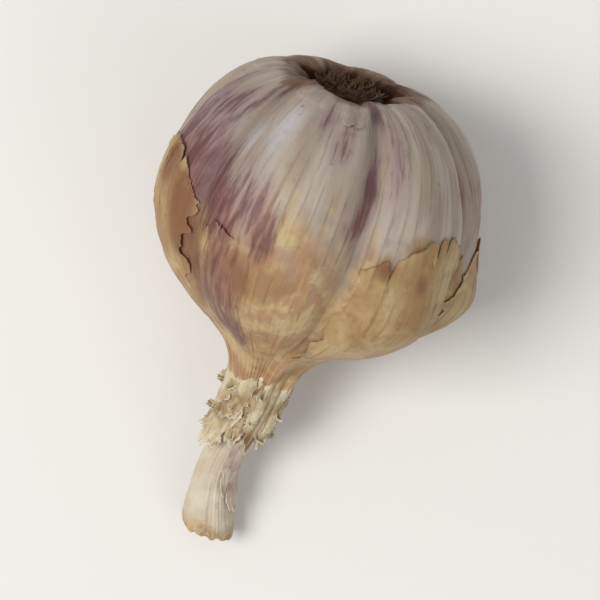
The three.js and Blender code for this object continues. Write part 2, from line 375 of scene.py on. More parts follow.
# ---- Colour zones of the skin, with painted shadow and highlight among them: soft dabs ----
# Each is degrees round the bulb, mm along it, half width in degrees, half length in mm, and strength.
MAROON_AND_SHADOW = [
    # the top furrow and the clove left of it
    (20, 18, 5, 5, 0.9), (20, 27, 3, 5, 0.15), (19, 34, 3.6, 6, 1.0), (17, 41, 3, 4, 0.5),
    (-12, 47, 4.5, 5.5, 0.85), (-18, 43, 7, 6, 0.55), (-26, 49, 5, 6, 0.6), (-9, 22, 6, 5, 0.6),
    (13, 41, 4, 5, 0.35), (4, 30, 4, 7, 0.2), (-20, 73, 12, 9, 1.0), (-32, 66, 8, 9, 0.7),
    (-20, 60, 7, 6, 0.65), (-29, 36, 4, 8, 0.35), (-24, 38, 12, 9, 0.22), (-28, 56, 5, 6, 0.4),
    # painted shadow under and below the flap at the roots
    (4, 21, 4, 2.5, 0.4), (2, 27, 7, 4, 0.45),
    # the cloves left of that
    (-43, 41, 6, 6.5, 1.0), (-52, 39, 7, 8, 1.0), (-35, 45, 5.5, 6, 0.95), (-55, 27, 8, 7, 0.65),
    (-66, 35, 7, 10, 0.8), (-45, 20, 5, 6, 0.6), (-72, 23, 8, 7, 0.6), (-100, 40, 9, 10, 0.6),
    (-84, 30, 4, 8, 0.4), (-46, 55, 6, 6, 0.4),
    # the right side and the underside
    (29, 25, 7, 6, 0.5), (31, 33, 6, 6, 0.3), (78, 30, 3.5, 14, 0.75), (92, 36, 9, 12, 0.5),
    (62, 33, 4, 8, 0.35), (52, 21, 8, 5, 0.4), (135, 28, 4, 14, 0.9), (150, 32, 12, 13, 0.7),
    (184, 30, 4, 12, 0.8), (204, 34, 13, 12, 0.55), (235, 27, 4, 13, 0.9), (250, 36, 12, 12, 0.75),
    (275, 31, 4, 13, 0.85), (214, 58, 10, 10, 0.4), (118, 56, 7, 10, 0.35), (160, 62, 6, 12, 0.35),
    (262, 60, 6, 12, 0.45),
]
PALE_AND_HIGHLIGHT = [
    # the cloves seen from above; those at -25 and -38 degrees are partly white skin, partly painted highlight
    (-25, 26, 7, 8, 0.85), (-38, 31, 5, 6, 0.85), (-22, 36, 10, 8, 0.45), (-47, 31, 2.5, 8, 0.45),
    (-15, 19, 5, 5, 0.5), (29, 42, 5, 5, 0.55), (27, 38, 3, 6, 0.3), (36, 36, 6, 6, 0.3),
    (13, 26, 3, 5, 0.4), (50, 29, 10, 7, 0.5), (-80, 26, 5, 9, 0.45), (-59, 32, 2.5, 7, 0.4),
    # the side and the underside
    (104, 28, 18, 12, 0.6), (160, 24, 12, 9, 0.5), (204, 22, 16, 8, 0.5), (255, 24, 12, 8, 0.5),
]
RUST_AND_SHADOW = [
    # the cloves that show from above
    (-50, 46, 6, 5, 1.0), (-48, 53, 8, 6, 0.95), (-62, 42, 7, 7, 0.8), (-28, 58, 8, 7, 0.9),
    (-18, 56, 8, 6, 1.0), (-40, 62, 8, 7, 0.7), (18, 40, 2.5, 4, 0.8), (47, 49, 5, 4, 0.7),
    # at 4 degrees, 24.3 and 21 mm: a painted shadow line and painted shade under the flap at the roots; the
    # rest is rust
    (32, 47, 5, 3, 0.8), (2, 27, 3.5, 2.6, 0.55), (4, 24.3, 5, 0.8, 0.6), (4, 21, 4, 2.5, 0.35),
    (-4, 50, 4, 4, 0.3), (9, 60, 4, 5, 0.3), (28, 57, 4, 5, 0.35),
    # the sides and the underside
    (150, 62, 9, 8, 0.5), (240, 55, 9, 9, 0.6), (80, 50, 6, 9, 0.5), (300, 66, 9, 8, 0.5),
    (92, 43, 7, 7, 0.5),
]
GOLD = [
    (-8, 35, 6, 6, 0.3), (-3, 45, 9, 6, 0.6), (7, 49, 10, 6, 0.8), (42, 43, 8, 4, 0.8),
    (-14, 54, 8, 6, 0.6),
]
PIT_DIRT = [(6, 16, 14, 10, 0.9), (-38, 16, 20, 10, 0.7), (120, 15, 25, 10, 0.5), (250, 15, 30, 10, 0.4)]
TAN_START, TAN_FULL = 36, 58  # mm along the skin


def dabs(marks, turned, along):
    """Soft dabs laid over each other, from 0 to 1."""
    left = np.ones_like(along)
    for angle, place, half_width, half_length, strength in marks:
        away = -(aside_of(turned, angle) / half_width) ** 2 - ((along - place) / half_length) ** 2
        left = left * (1 - strength * np.exp(away))
    return 1 - left


def paint(piece, turned, along, edge=None):
    """Stores what the skin's materials read: a place for streaks, the colour zones with their painted shadow
    and highlight, furrows and dirt.
    """
    store(piece, "lengthwise", lengthwise(SKIN_STREAKS, turned, along))
    for name, marks in (("maroon", MAROON_AND_SHADOW), ("pale", PALE_AND_HIGHLIGHT), ("rust_and_shadow", RUST_AND_SHADOW)):
        store(piece, name, dabs(marks, turned, along))
    reach = along + 4 * drift(turned, along, 9, 30, 21) + 3.5 * drift(turned, along, 24, 11, 25)
    reach += 5 * drift(turned, along, 70, 36, 26)
    store(piece, "tan", np.maximum(smoothstep(reach, TAN_START, TAN_FULL), dabs(GOLD, turned, along)))
    store(piece, "lower", smoothstep(along, 24, 48))
    furrow = fold_of(across_clove(turned)[1]) ** 3
    store(piece, "furrow", furrow * smoothstep(along, 8, 14) * (1 - smoothstep(along, 66, 84)))
    inner = along + 1.4 * drift(turned, along, 18, 3, 22) - 3 * dabs(PIT_DIRT, turned, along)
    store(piece, "soil", 1 - smoothstep(inner + 0.6 * drift(turned, along, 70, 4, 24), 8, 15.5))
    store(piece, "stain", 1 - smoothstep(inner + 2.5 * drift(turned, along, 44, 6, 23) - 4 * furrow, 11, 20))
    if edge is not None:
        store(piece, "edge", edge)


# ---- Skin: the cloves in their closed skin, with the root pit, the neck and its socket ----
SOCKET = [(5.6, NECK_END), (5.2, 46.7), (4.7, 46.2), (4.5, 44.2), (2.5, 43.6), (0, 43.5)]  # radius and height
SOCKET_LENGTH = 8.0
CLOVE_COLUMNS = 54
SKIN_ROWS = 216
# Share of the rows up to the pit's rim, the shoulder, the neck's end and the socket's, and where those are
ROW_SHARES = [0, 0.12, 0.67, 0.95, 1]
ROW_PLACES = [0, 13.7, 77, SKIN_LENGTH, SKIN_LENGTH + SOCKET_LENGTH]


def make_skin(material):
    """One closed surface: its columns run round the bulb, and its rows from the pit to the socket."""
    piece, u, v = unrolled("bulb_skin", CLOVES * CLOVE_COLUMNS, SKIN_ROWS)
    clove = np.minimum((u * CLOVES).astype(int), CLOVES - 1)
    share = 2 * (u * CLOVES - clove) - 1
    share = 1.15 * share - 0.15 * share ** 3  # the columns lie closer together in the furrows
    turned = FURROWS[clove] + (share + 1) / 2 * (FURROWS[clove + 1] - FURROWS[clove])
    along = np.interp(v, ROW_SHARES, ROW_PLACES)
    points = skin_point(turned, np.minimum(along, SKIN_LENGTH))
    ragged = 0.7 * drift(turned, along, 19, 50, 31) * smoothstep(along, SKIN_LENGTH - 5, SKIN_LENGTH)
    points[:, 2] += ragged
    inside = along > SKIN_LENGTH
    socket = np.array(SOCKET)
    down = np.linspace(0, SOCKET_LENGTH, len(SOCKET))
    radius, height = (np.interp(along - SKIN_LENGTH, down, socket[:, part]) for part in (0, 1))
    points[inside] = upright(turned + FURROW_LEAN * height, radius, height)[inside]
    lay(piece, points)
    press_flat(piece)
    paint(piece, turned, along)
    close_up(piece)
    smooth(piece, 70)
    belongs(piece, "skin", material, "bulb")


# ---- Old skin: thin torn sheets that lie over the skin ----
SHEET = 0.13  # thickness
SHEET_FACE = (0.26, 0.34)  # width and length of its faces
SHEET_RADIUS = 24  # of the bulb under it
FULLY_TORN = 24  # length from which a sheet's edges are torn the most
OLD_SKINS = [
    # CAD node, from and to in degrees, torn edge and kept end in mm along, arch of that edge, curl
    ("old_skin_right", 23, 77, 41, 80, 7, 1.0),
    ("old_skin_left", -81, -46, 37.5, 63, 5.0, 0.8),
    ("old_skin_under", 83, 129, 46.5, 81, 4.0, 0.8),
]
FLAKES = [
    ("flake_back_left", 206, 232, 50, 74, 3.5, 0.7),
    ("flake_back_right", 140, 166, 57, 79, 3.0, 0.6),
    ("flake_side", 246, 262, 62, 80, 2.5, 0.5),
]
SKIN_EDGES = [
    # the skin's own torn edges, at the roots and where it has split
    ("rim_skin_1", -52, 30, 12.6, 21, -0.5, 0.5),
    ("rim_skin_2", 34, 96, 13.2, 22, -0.6, 0.5),
    ("rim_skin_3", 100, 190, 12.4, 21, -0.4, 0.5),
    ("rim_skin_4", 196, 302, 12.8, 22, -0.5, 0.5),
    ("flap_at_roots_1", -2, 11, 22.8, 15, -0.6, 1.0),
    ("flap_at_roots_2", -45, -28, 18.6, 13.5, -0.5, 0.7),
    ("split_skin_1", -38, -22, 47, 60, 2.5, 0.5),
    ("split_skin_2", 210, 226, 30, 44, 2.5, 0.5),
]


def torn_line(place, seed, cells=40):
    """Millimetres that a torn edge strays, at places from 0 to 1 along it."""
    total = 0
    for scale, strength in ((7, 1.3), (17, 0.7), (45, 0.35), (110, 0.16)):
        total = total + strength * drift(place * 360 * cells / 60, 0 * place, scale, 10, seed + scale)
    return total


def slits(place, seed, count, depth):
    """Millimetres that a torn edge is split inwards, at places along it."""
    chance = np.random.default_rng(seed)
    total = 0
    for middle, share in zip(chance.uniform(0.12, 0.88, count), chance.uniform(0.3, 1, count)):
        total = total + share * depth * np.exp(-np.abs((place - middle) / 0.014) ** 1.3)
    return total


def make_peel(name, start, end, torn, kept, arch, curl, seed, slot, material, *nodes, free_sides=True):
    """A sheet over the skin: it lifts at its torn edge, and its other end sinks into the skin.

    Its sides lift too where they are free, and sink in where they aren't.
    """
    width = math.radians(end - start) * SHEET_RADIUS
    columns, rows = int(width / SHEET_FACE[0]), max(16, int(abs(kept - torn) / SHEET_FACE[1]))
    piece, u, v = unrolled(name, columns, rows)
    v = v ** 1.25  # the rows lie closer together at the torn edge
    size = np.clip((kept - torn) / FULLY_TORN, -1, 1)
    edge_line = torn + arch * (2 * u - 1) ** 2 + size * torn_line(u, seed) + size * slits(u, seed + 5, 4, 6)
    along = edge_line + (kept - edge_line) * v
    left = torn_line(v, seed + 1) * (1 - u) ** 2
    right = torn_line(v, seed + 2) * u ** 2
    turned = start + (end - start) * u + (left + right) * 2.2 * size
    from_torn = np.abs(along - edge_line)
    from_side = np.minimum(u, 1 - u) * width
    from_edge = np.minimum(from_torn, from_side + 0.2) if free_sides else from_torn
    wave = 0.5 + 0.8 * drift(turned, along, 40, 9, seed + 3)
    lift = 0.15 + curl * np.clip(wave, 0, 1) * np.exp(-from_edge / 1.6)
    lift = lift + 0.07 * drift(turned, along, 70, 3, seed + 4)
    lift = lift - 0.45 * smoothstep(v, 0.75, 1)
    sunk = 0.25 * (1 - np.clip(wave, 0, 1)) if free_sides else 0.3 + curl
    lift = lift - sunk * np.exp(-from_side / 0.5)
    lay(piece, skin_point(turned, along, lift))
    browned = 0.45 + 0.55 * drift(turned, along, 80, 4, seed + 6)
    paint(piece, turned, along, np.exp(-from_edge / 0.7) * browned)
    thicken(piece, SHEET)
    smooth(piece)
    belongs(piece, slot, material, *nodes)


# ---- Neck: torn leaves and frays round its end ----
NECK_LEAVES = [
    # middle and width in degrees, heights of its low and high end, and how far it leans out
    (35, 70, 34.5, 50.0, 0.6),
    (105, 62, 35.5, 48.6, 0.9),
    (176, 70, 35, 50.4, 0.4),
    (246, 60, 35.5, 49.0, 0.9),
    (318, 74, 34, 51.0, 0.7),
]
CRUMPLE = 0.6  # of the neck leaves
LEAF, FRAY, SHEATH = 0.16, 0.18, 0.2  # thickness
LEAF_FACE = (0.2, 0.22)  # width and length of their faces
NECK_RADIUS = 6
FRAYS = 42
FRAY_TOP, FRAY_BAND = 47, 11  # height of the highest foot, and how far down they go


def paint_leaf(piece, place, edge, hollow_shade, browning_and_shade):
    """Stores what the leaves' material reads: a place for streaks, pale edges, painted shade, and browning
    with shade.
    """
    store(piece, "lengthwise", place)
    store(piece, "edge", edge)
    store(piece, "hollow_shade", hollow_shade)
    store(piece, "browning_and_shade", browning_and_shade)


def around_neck(angle, height, lift):
    """A point over the neck, whose outline runs on straight past its end."""
    along = along_at(np.minimum(height, NECK_END))
    points = skin_point(angle - FURROW_LEAN * height, along, lift)
    sway, sag = neck_offset(np.minimum(height, NECK_END))
    new_sway, new_sag = neck_offset(height)
    points[..., 0] -= new_sway - sway
    points[..., 1] -= new_sag - sag
    points[..., 2] = height
    return points


def make_strip(name, middle, width, low, high, lean, crumple, seed, material, *nodes):
    """A torn strip of leaf that clings to the neck at its low end and comes loose towards its ragged tip."""
    across = math.radians(width) * NECK_RADIUS
    columns, rows = max(10, int(across / LEAF_FACE[0])), max(14, int((high - low) / LEAF_FACE[1]))
    piece, u, v = unrolled(name, columns, rows)
    tip = high - 1.6 * (2 * u - 1) ** 2 + 1.1 * torn_line(u, seed, 50) - slits(u, seed + 5, 3, 4)
    foot = low + 0.9 * torn_line(u, seed + 1, 50)
    height = foot + (tip - foot) * v
    narrow = 1 - 0.35 * v ** 2
    side = torn_line(v, seed + 2) * (2 * u - 1) * 3.5
    angle = middle + width * (u - 0.5) * narrow + side
    folds = 0.8 * drift(angle, height, 17, 3.4, seed + 3) + 0.3 * drift(angle, height, 38, 1.8, seed + 4)
    buckle = crumple * (0.2 + 0.8 * v) * folds
    cup = 0.35 * crumple * (2 * u - 1) ** 2 * v
    lift = 0.16 + lean * v ** 2 + buckle + cup - 0.5 * (1 - smoothstep(v, 0, 0.18))
    lay(piece, around_neck(angle, height, np.maximum(lift, -0.25)))
    edge = np.exp(-(1 - v) * (high - low) / 1.0)
    # painted shade in the dips between the folds
    hollow_shade = smoothstep(-buckle, -0.1 * crumple, 0.6 * crumple)
    # browner where the strip lies close to the neck: partly dirt, partly painted shade
    browning_and_shade = 0.9 * (1 - smoothstep(lift, -0.1, 0.9)) * smoothstep(v, 0.1, 0.4)
    paint_leaf(piece, lengthwise(NECK_STREAKS, 90 - angle, height), edge, hollow_shade, browning_and_shade)
    thicken(piece, LEAF)
    smooth(piece)
    belongs(piece, "leaf", material, *nodes)


def rolled(across, curvature):
    """Bends a flat width into an arc: how far each point is then aside and how far it is raised."""
    bent = np.where(np.abs(curvature) < 1e-4, 1e-4, curvature)
    return np.sin(bent * across) / bent, (1 - np.cos(bent * across)) / bent


def make_fray(name, angle, height, width, length, slant, rise, curl, roll, seed, material):
    """A crumpled scrap of leaf that starts on the neck, bends away from it and rolls up across its width.

    Slant turns it aside, rise is its slope at the foot and curl what its slope gains by the tip, in radians.
    """
    columns, rows = max(12, int(width / LEAF_FACE[0])), max(16, int(length / LEAF_FACE[1]))
    piece, u, v = unrolled(name, columns, rows)
    reach = length * (1 - 0.25 * (2 * u - 1) ** 2) + 0.5 * torn_line(u, seed, 30)
    reach = reach - slits(u, seed + 5, 2, 0.4 * length)
    along = np.maximum(reach, 0.4 * length) * v
    across = width * (u - 0.5) * (1 - 0.3 * v) + 0.35 * torn_line(v, seed + 1, 30) * (2 * u - 1)
    steps = np.linspace(0, 1.2 * length, 60)
    bend = rise + curl * (steps / length) ** 2
    forward = np.append(0, np.cumsum(np.cos(bend[1:]) * np.diff(steps)))
    upward = np.append(0, np.cumsum(np.sin(bend[1:]) * np.diff(steps)))
    aside, raised = rolled(across, -1 / NECK_RADIUS + (roll + 1 / NECK_RADIUS) * v)
    spread = across * 24  # as degrees, for the noise
    folds = 0.65 * drift(spread, along, 30, 2.2, seed + 2) + 0.3 * drift(spread, along, 66, 1.1, seed + 3)
    raised = raised + folds * (0.35 + 0.65 * v)
    turned_up = np.interp(along, steps, bend)
    ahead = np.interp(along, steps, forward) - raised * np.sin(turned_up)
    out = np.interp(along, steps, upward) + raised * np.cos(turned_up)
    cos, sin = math.cos(slant), math.sin(slant)
    aside, ahead = aside * cos - ahead * sin, aside * sin + ahead * cos
    turn = math.radians(angle)
    foot = around_neck(np.array([float(angle)]), np.array([float(height)]), -0.15)[0]
    sway, sag = neck_offset(height + ahead)
    foot_sway, foot_sag = neck_offset(height)
    lay(piece, np.stack([
        foot[0] + aside * math.cos(turn) + out * math.sin(turn) - (sway - foot_sway),
        foot[1] - aside * math.sin(turn) + out * math.cos(turn) - (sag - foot_sag),
        height + ahead,
    ], axis=-1))
    streaks = np.stack([0.45 * across, 0 * across + seed, SHORTENED * along], axis=-1)
    edge = np.exp(-(1 - v) * length / 0.8) + np.exp(-np.minimum(u, 1 - u) * width / 0.3)
    own_age = (seed % 70 / 70) ** 2  # some frays are browner than others
    # browner on aged frays, and where the scrap lies close to the neck, partly dirt and partly painted shade
    browning_and_shade = np.maximum((1 - 0.6 * v) * own_age, 0.9 * (1 - smoothstep(out, 0.2, 1.4)))
    # painted shade in the dips between the folds
    paint_leaf(piece, streaks, edge, smoothstep(-folds, -0.05, 0.45), browning_and_shade)
    thicken(piece, FRAY)
    smooth(piece)
    belongs(piece, "leaf", material)


def make_neck(material):
    """The torn leaves, and the frays over them, every third of which is rolled back."""
    for number, shape in enumerate(NECK_LEAVES, 1):
        node = f"neck_leaf_{number}"
        make_strip(f"{node}_torn", *shape, CRUMPLE, 300 + 10 * number, material, node)
    chance = np.random.default_rng(12)
    for number in range(1, FRAYS + 1):
        rolled_back = number % 3 == 0
        angle, height = number * GOLDEN_ANGLE % 360, FRAY_TOP - FRAY_BAND * number / FRAYS
        width = chance.uniform(2.6, 4.8)
        length = chance.uniform(2.6, 4.0) if rolled_back else chance.uniform(3.2, 5.4)
        slant = chance.uniform(-0.5, 0.5)
        rise = chance.uniform(-0.1, 0.2)
        curl = chance.uniform(1.4, 2.6) if rolled_back else chance.uniform(-0.7, 0.5)
        roll = chance.uniform(-0.5, 0.7)
        seed = 500 + 10 * number
        make_fray(f"fray_{number}", angle, height, width, length, slant, rise, curl, roll, seed, material)


# ---- Stalk: the cut stub of the flower stalk ----
STALK = [
    # radius and height, from its foot in the neck to the middle of its cut end
    (0, 43.9), (3.7, 44), (3.75, 47), (3.4, 52), (3.5, 57), (4.0, 62), (4.6, 66.5), (4.85, 69.2),
    (4.75, 70.2), (4.45, 70.8), (4.0, 70.95), (3.6, 70.6), (3.2, 70.6), (2.8, 70.75), (2.3, 70.35),
    (1.8, 70.5), (1.1, 70.1), (0, 69.9),
]
SPLIT_DEPTH = 0.36  # in the stub's side
SHEATH_REST = [(44, 3.75), (47, 3.75), (52, 3.4), (57, 3.5), (62, 4.0), (66, 4.6)]  # height and radius


def revolved(name, profile, columns, rows):
    """A grid to roll up round a profile: each vertex's angle, its length along it, its radius and height."""
    line = np.array(profile)
    length = lengths_of(line)
    piece, u, v = unrolled(name, columns, rows)
    where = v * length[-1]
    return piece, 360 * u, where, np.interp(where, length, line[:, 0]), np.interp(where, length, line[:, 1])


def oval(angle):
    """How much wider than its mean the stalk is at an angle."""
    return 1 + 0.07 * np.cos(2 * np.radians(angle - 90))


def make_stalk(material):
    """The stub: ribbed and dented, with a split that winds up one side and an uneven cut end."""
    piece, angle, where, radius, height = revolved("stalk_stub", STALK, 220, 210)
    outer = smoothstep(radius, 2.5, 3.5)
    ribs = 0.12 * creases(angle, where, 34, 40, 71, 3) + 0.06 * creases(angle, where, 80, 30, 72)
    dents = 0.2 * drift(angle, where, 6, 7, 73)
    aside = aside_of(angle, 12 - 0.6 * (height - 60))
    split = -SPLIT_DEPTH * np.exp(-(aside / 11) ** 2) * smoothstep(height, 54, 66)
    end = smoothstep(height, 66, 69.5)
    rings = 0.16 * drift(angle, where, 40, 0.7, 74) * end * smoothstep(radius, 0.3, 1.5)
    cut = 0.45 * drift(angle, 0 * where, 5, 9, 75) + 0.3 * drift(angle, 0 * where, 23, 9, 76)
    cut = cut * smoothstep(height, 62, 70) * smoothstep(radius, 0.2, 3.2)
    cut = cut - 0.35 * (1 - smoothstep(radius, 0.4, 1.1)) * end
    radius = radius * oval(angle) + outer * (ribs + dents + split)
    lay(piece, upright(angle, np.maximum(radius, 0), height + cut + rings - 0.35 * end))
    press_flat(piece)
    store(piece, "lengthwise", lengthwise(NECK_STREAKS, angle, where))
    store(piece, "end", smoothstep(height + 1.2 * drift(angle, 0 * where, 9, 9, 77), 64.5, 71))
    close_up(piece, 0.002)
    smooth(piece)
    belongs(piece, "stalk", material, "stalk")


def make_sheath(material):
    """A layer of leaf that still covers the upper side of the stub."""
    piece, u, v = unrolled("stalk_sheath", 60, 76)
    low, high = 46, 63.5
    middle, width = 74, 132
    tip = high - 5 * (2 * u - 1) ** 2 + 0.9 * torn_line(u, 91, 40) - slits(u, 92, 4, 5)
    height = low + (tip - low) * v
    angle = middle + width * (u - 0.5) * (1 - 0.25 * v) + 4 * torn_line(v, 93) * (2 * u - 1)
    rest = np.array(SHEATH_REST)
    radius = np.interp(height, rest[:, 0], rest[:, 1])
    wave = 0.25 * drift(angle, height, 14, 5, 94)
    lift = 0.3 + 0.5 * v ** 3 + np.maximum(wave, -0.1) + 0.35 * np.abs(2 * u - 1) ** 3 * v
    lay(piece, upright(angle, radius * oval(angle) + lift, height))
    edge = np.exp(-(1 - v) * 17 / 0.8)  # it is about 17 mm long
    paint_leaf(piece, lengthwise(NECK_STREAKS, angle, height), edge, 0 * u, 0 * u)
    thicken(piece, SHEATH)
    smooth(piece)
    belongs(piece, "leaf", material)


# ---- Root plate: the corky disc with its cut, dried roots ----
# Radius and height, from the middle of its inner face over its rim to the middle of its outer face
PLATE = [(0, -19.0), (4.6, -19.2), (6.2, -20.2), (6.4, -21.0), (5.6, -21.5), (3.4, -21.8), (0, -21.9)]
ROOTS = 170
ROOTS_REACH = 5.5  # how far from the plate's middle they grow
ROOT_FEET = -21.1  # height


def make_root_plate(material):
    """The rough disc that the roots stand on."""
    piece, angle, where, radius, height = revolved("root_disc", PLATE, 130, 70)
    rough = 0.35 * drift(angle, where, 26, 1.3, 81) + 0.2 * drift(angle, where, 60, 0.6, 82)
    rough_height = height + rough * np.clip(radius, 0, 1)
    lay(piece, upright(angle, radius + rough * np.clip(radius / 3, 0, 1), rough_height))
    close_up(piece, 0.002)
    smooth(piece)
    belongs(piece, "root", material, "root_plate")


def make_root(number, chance):
    """One dried root: a thin tapered tube that leans and curls."""
    spread = math.sqrt((number + 0.5) / ROOTS)
    turn = math.radians(number * GOLDEN_ANGLE)
    piece, u, v = unrolled("root", 6, 8)
    out = np.array([math.sin(turn), math.cos(turn)])
    length = chance.uniform(0.8, 2.5)
    lean = out * (0.1 + 0.8 * spread) + chance.uniform(-0.8, 0.8, 2)
    curl, phase = chance.uniform(0.15, 0.5), chance.uniform(0, 6.3)
    thick = chance.uniform(0.16, 0.34)
    middle = ROOTS_REACH * spread * out + np.outer(v, lean * length * 0.6)
    winding = 4 * v + phase
    middle[:, 0] += curl * (np.sin(winding) - math.sin(phase))
    middle[:, 1] += curl * (np.cos(winding) - math.cos(phase))
    around = 2 * math.pi * u
    size = thick * (1 - 0.5 * v) * np.sin(np.pi * v) ** 0.2
    ring = middle + np.stack([size * np.cos(around), size * np.sin(around)], axis=-1)
    lay(piece, np.column_stack([ring, ROOT_FEET - 0.9 * length * v]))
    store(piece, "tip", v)
    close_up(piece, 0.001)
    return piece


def make_roots(material):
    """All roots as one piece, spread evenly over the plate."""
    chance = np.random.default_rng(9)
    roots = [make_root(number, chance) for number in range(ROOTS)]
    bpy.ops.object.select_all(action="DESELECT")
    for root in roots:
        root.select_set(True)
    bpy.context.view_layer.objects.active = roots[0]
    bpy.ops.object.join()
    joined = bpy.context.object
    joined.name = joined.data.name = "dried_roots"
    smooth(joined, 50)
    belongs(joined, "root", material)


# ---- Materials ----
def colour(hex_code):
    """Linear colour from a hex code, for a socket."""
    shares = [int(hex_code[i:i + 2], 16) / 255 for i in (0, 2, 4)]
    return tuple(c / 12.92 if c <= 0.04045 else ((c + 0.055) / 1.055) ** 2.4 for c in shares) + (1.0,)


class Finish:
    """A material in the making: each method adds a node and gives its output. Colours are hex codes."""

    def __init__(self, name, **shader):
        self.material = bpy.data.materials.new(name)
        self.material.use_nodes = True
        self.tree = self.material.node_tree
        self.shader = self.tree.nodes["Principled BSDF"]
        for socket, value in shader.items():
            self.shader.inputs[socket.replace("_", " ")].default_value = value

    def add(self, kind, inputs, output=0, **settings):
        """Adds a node, links or sets its inputs, and gives an output. Sockets go by name or by number."""
        node = self.tree.nodes.new("ShaderNode" + kind)
        for key, value in settings.items():
            setattr(node, key, value)
        for socket, value in inputs.items():
            if isinstance(value, bpy.types.NodeSocket):
                self.tree.links.new(value, node.inputs[socket])
            else:
                node.inputs[socket].default_value = colour(value) if isinstance(value, str) else value
        return node.outputs[output]

    def attribute(self, name, vector=False):
        return self.add("Attribute", {}, "Vector" if vector else "Fac", attribute_name=name)

    def position(self):
        return self.add("TexCoord", {}, "Object")

    def stretched(self, vector, x, y, z):
        return self.add("Mapping", {"Vector": vector, "Scale": (x, y, z)})

    def noise(self, vector, scale, detail=3.0, roughness=0.55, distortion=0.0):
        inputs = {"Vector": vector, "Scale": scale, "Detail": detail}
        return self.add("TexNoise", {**inputs, "Roughness": roughness, "Distortion": distortion})

    def math(self, operation, a, b=0.0):
        return self.add("Math", {0: a, 1: b}, operation=operation)

    def ramp(self, value, low, high):
        """0 below low, 1 above high and smooth in between."""
        inputs = {"Value": value, "From Min": low, "From Max": high}
        return self.add("MapRange", inputs, interpolation_type="SMOOTHSTEP")

    def between(self, value, low, high):
        """Stretches 0 to 1 onto low to high."""
        return self.add("MapRange", {"Value": value, "To Min": low, "To Max": high})

    def mix(self, factor, a, b):
        """Colour a where the factor is 0 and b where it is 1. Such sockets come after those for numbers."""
        return self.add("Mix", {0: factor, 6: a, 7: b}, 2, data_type="RGBA")

    def tint(self, base, mask, share, hex_code):
        """Lays a colour over the base where the mask is 1, as strongly as the share."""
        return self.mix(self.math("MULTIPLY", mask, share), base, hex_code)

    def streaked(self, mask, noise, low, high, strength):
        """A mask broken up into streaks by noise."""
        lifted = self.math("ADD", mask, self.math("MULTIPLY", self.math("SUBTRACT", noise, 0.5), strength))
        return self.ramp(lifted, low, high)

    def bump(self, height, distance, strength=1.0, under=None):
        """Relief in the shading, where a height of 1 is that many millimetres, over relief made before."""
        inputs = {"Height": height, "Distance": distance * MM, "Strength": strength}
        if under is not None:
            inputs["Normal"] = under
        return self.add("Bump", inputs)

    def give(self, **outputs):
        """Links outputs to the shader's sockets, and gives the finished material."""
        for socket, value in outputs.items():
            self.tree.links.new(value, self.shader.inputs[socket.replace("_", " ")])
        return self.material


def vein_lines(f, along, place):
    """Fine parallel veins that run from the roots to the neck, broken up here and there."""
    around = f.add("SeparateXYZ", {0: along}, "X")
    turn = f.math("ARCTAN2", f.add("SeparateXYZ", {0: along}, "Y"), around)
    wobble = f.math("MULTIPLY", f.noise(f.stretched(along, 1, 1, 2.0), 0.7, 2), 3.0)
    wave = f.math("SINE", f.math("ADD", f.math("MULTIPLY", turn, float(VEINS)), wobble))
    line = f.math("POWER", f.between(wave, 0.5, 1.0), 7.0)
    return f.math("MULTIPLY", line, f.ramp(f.noise(place, 90, 3, 0.6), 0.4, 0.62))


SKIN_SHINE = 0.42


